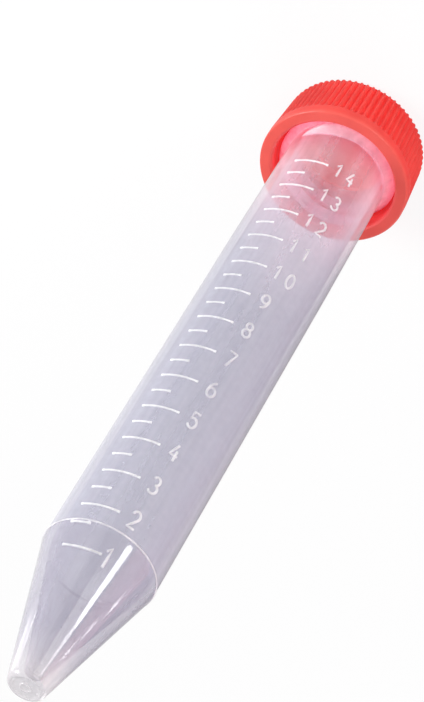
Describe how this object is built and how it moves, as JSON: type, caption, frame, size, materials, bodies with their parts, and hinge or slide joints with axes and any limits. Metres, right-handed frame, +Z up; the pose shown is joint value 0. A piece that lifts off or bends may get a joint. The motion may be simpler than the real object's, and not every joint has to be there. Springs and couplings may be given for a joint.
{
  "type": "conical-bottom sample tube with screw cap",
  "caption": "Clear conical-bottom laboratory tube with raised volume marks and a ribbed red screw cap, standing on its cap.",
  "frame": {"origin": "the centre of the cap's flat end, on the surface it stands on", "axes": "+Z up from the cap towards the tip; -Y is the front, with the volume marks; +X to the right"},
  "size_m": [0.0242, 0.0242, 0.12],
  "materials": {
    "clear_plastic": "translucent moulded plastic, frosted barrel and glossy cone",
    "red_plastic": "opaque moulded plastic, satin"
  },
  "bodies": {
    "tube": {"tube": "clear_plastic"},
    "cap": {"cap": "red_plastic"}
  },
  "joints": [
    {"name": "tube_lift", "type": "slide", "parent": "cap", "child": "tube", "axis": [0, 0, 1], "range_m": [0, 0.03]}
  ]
}
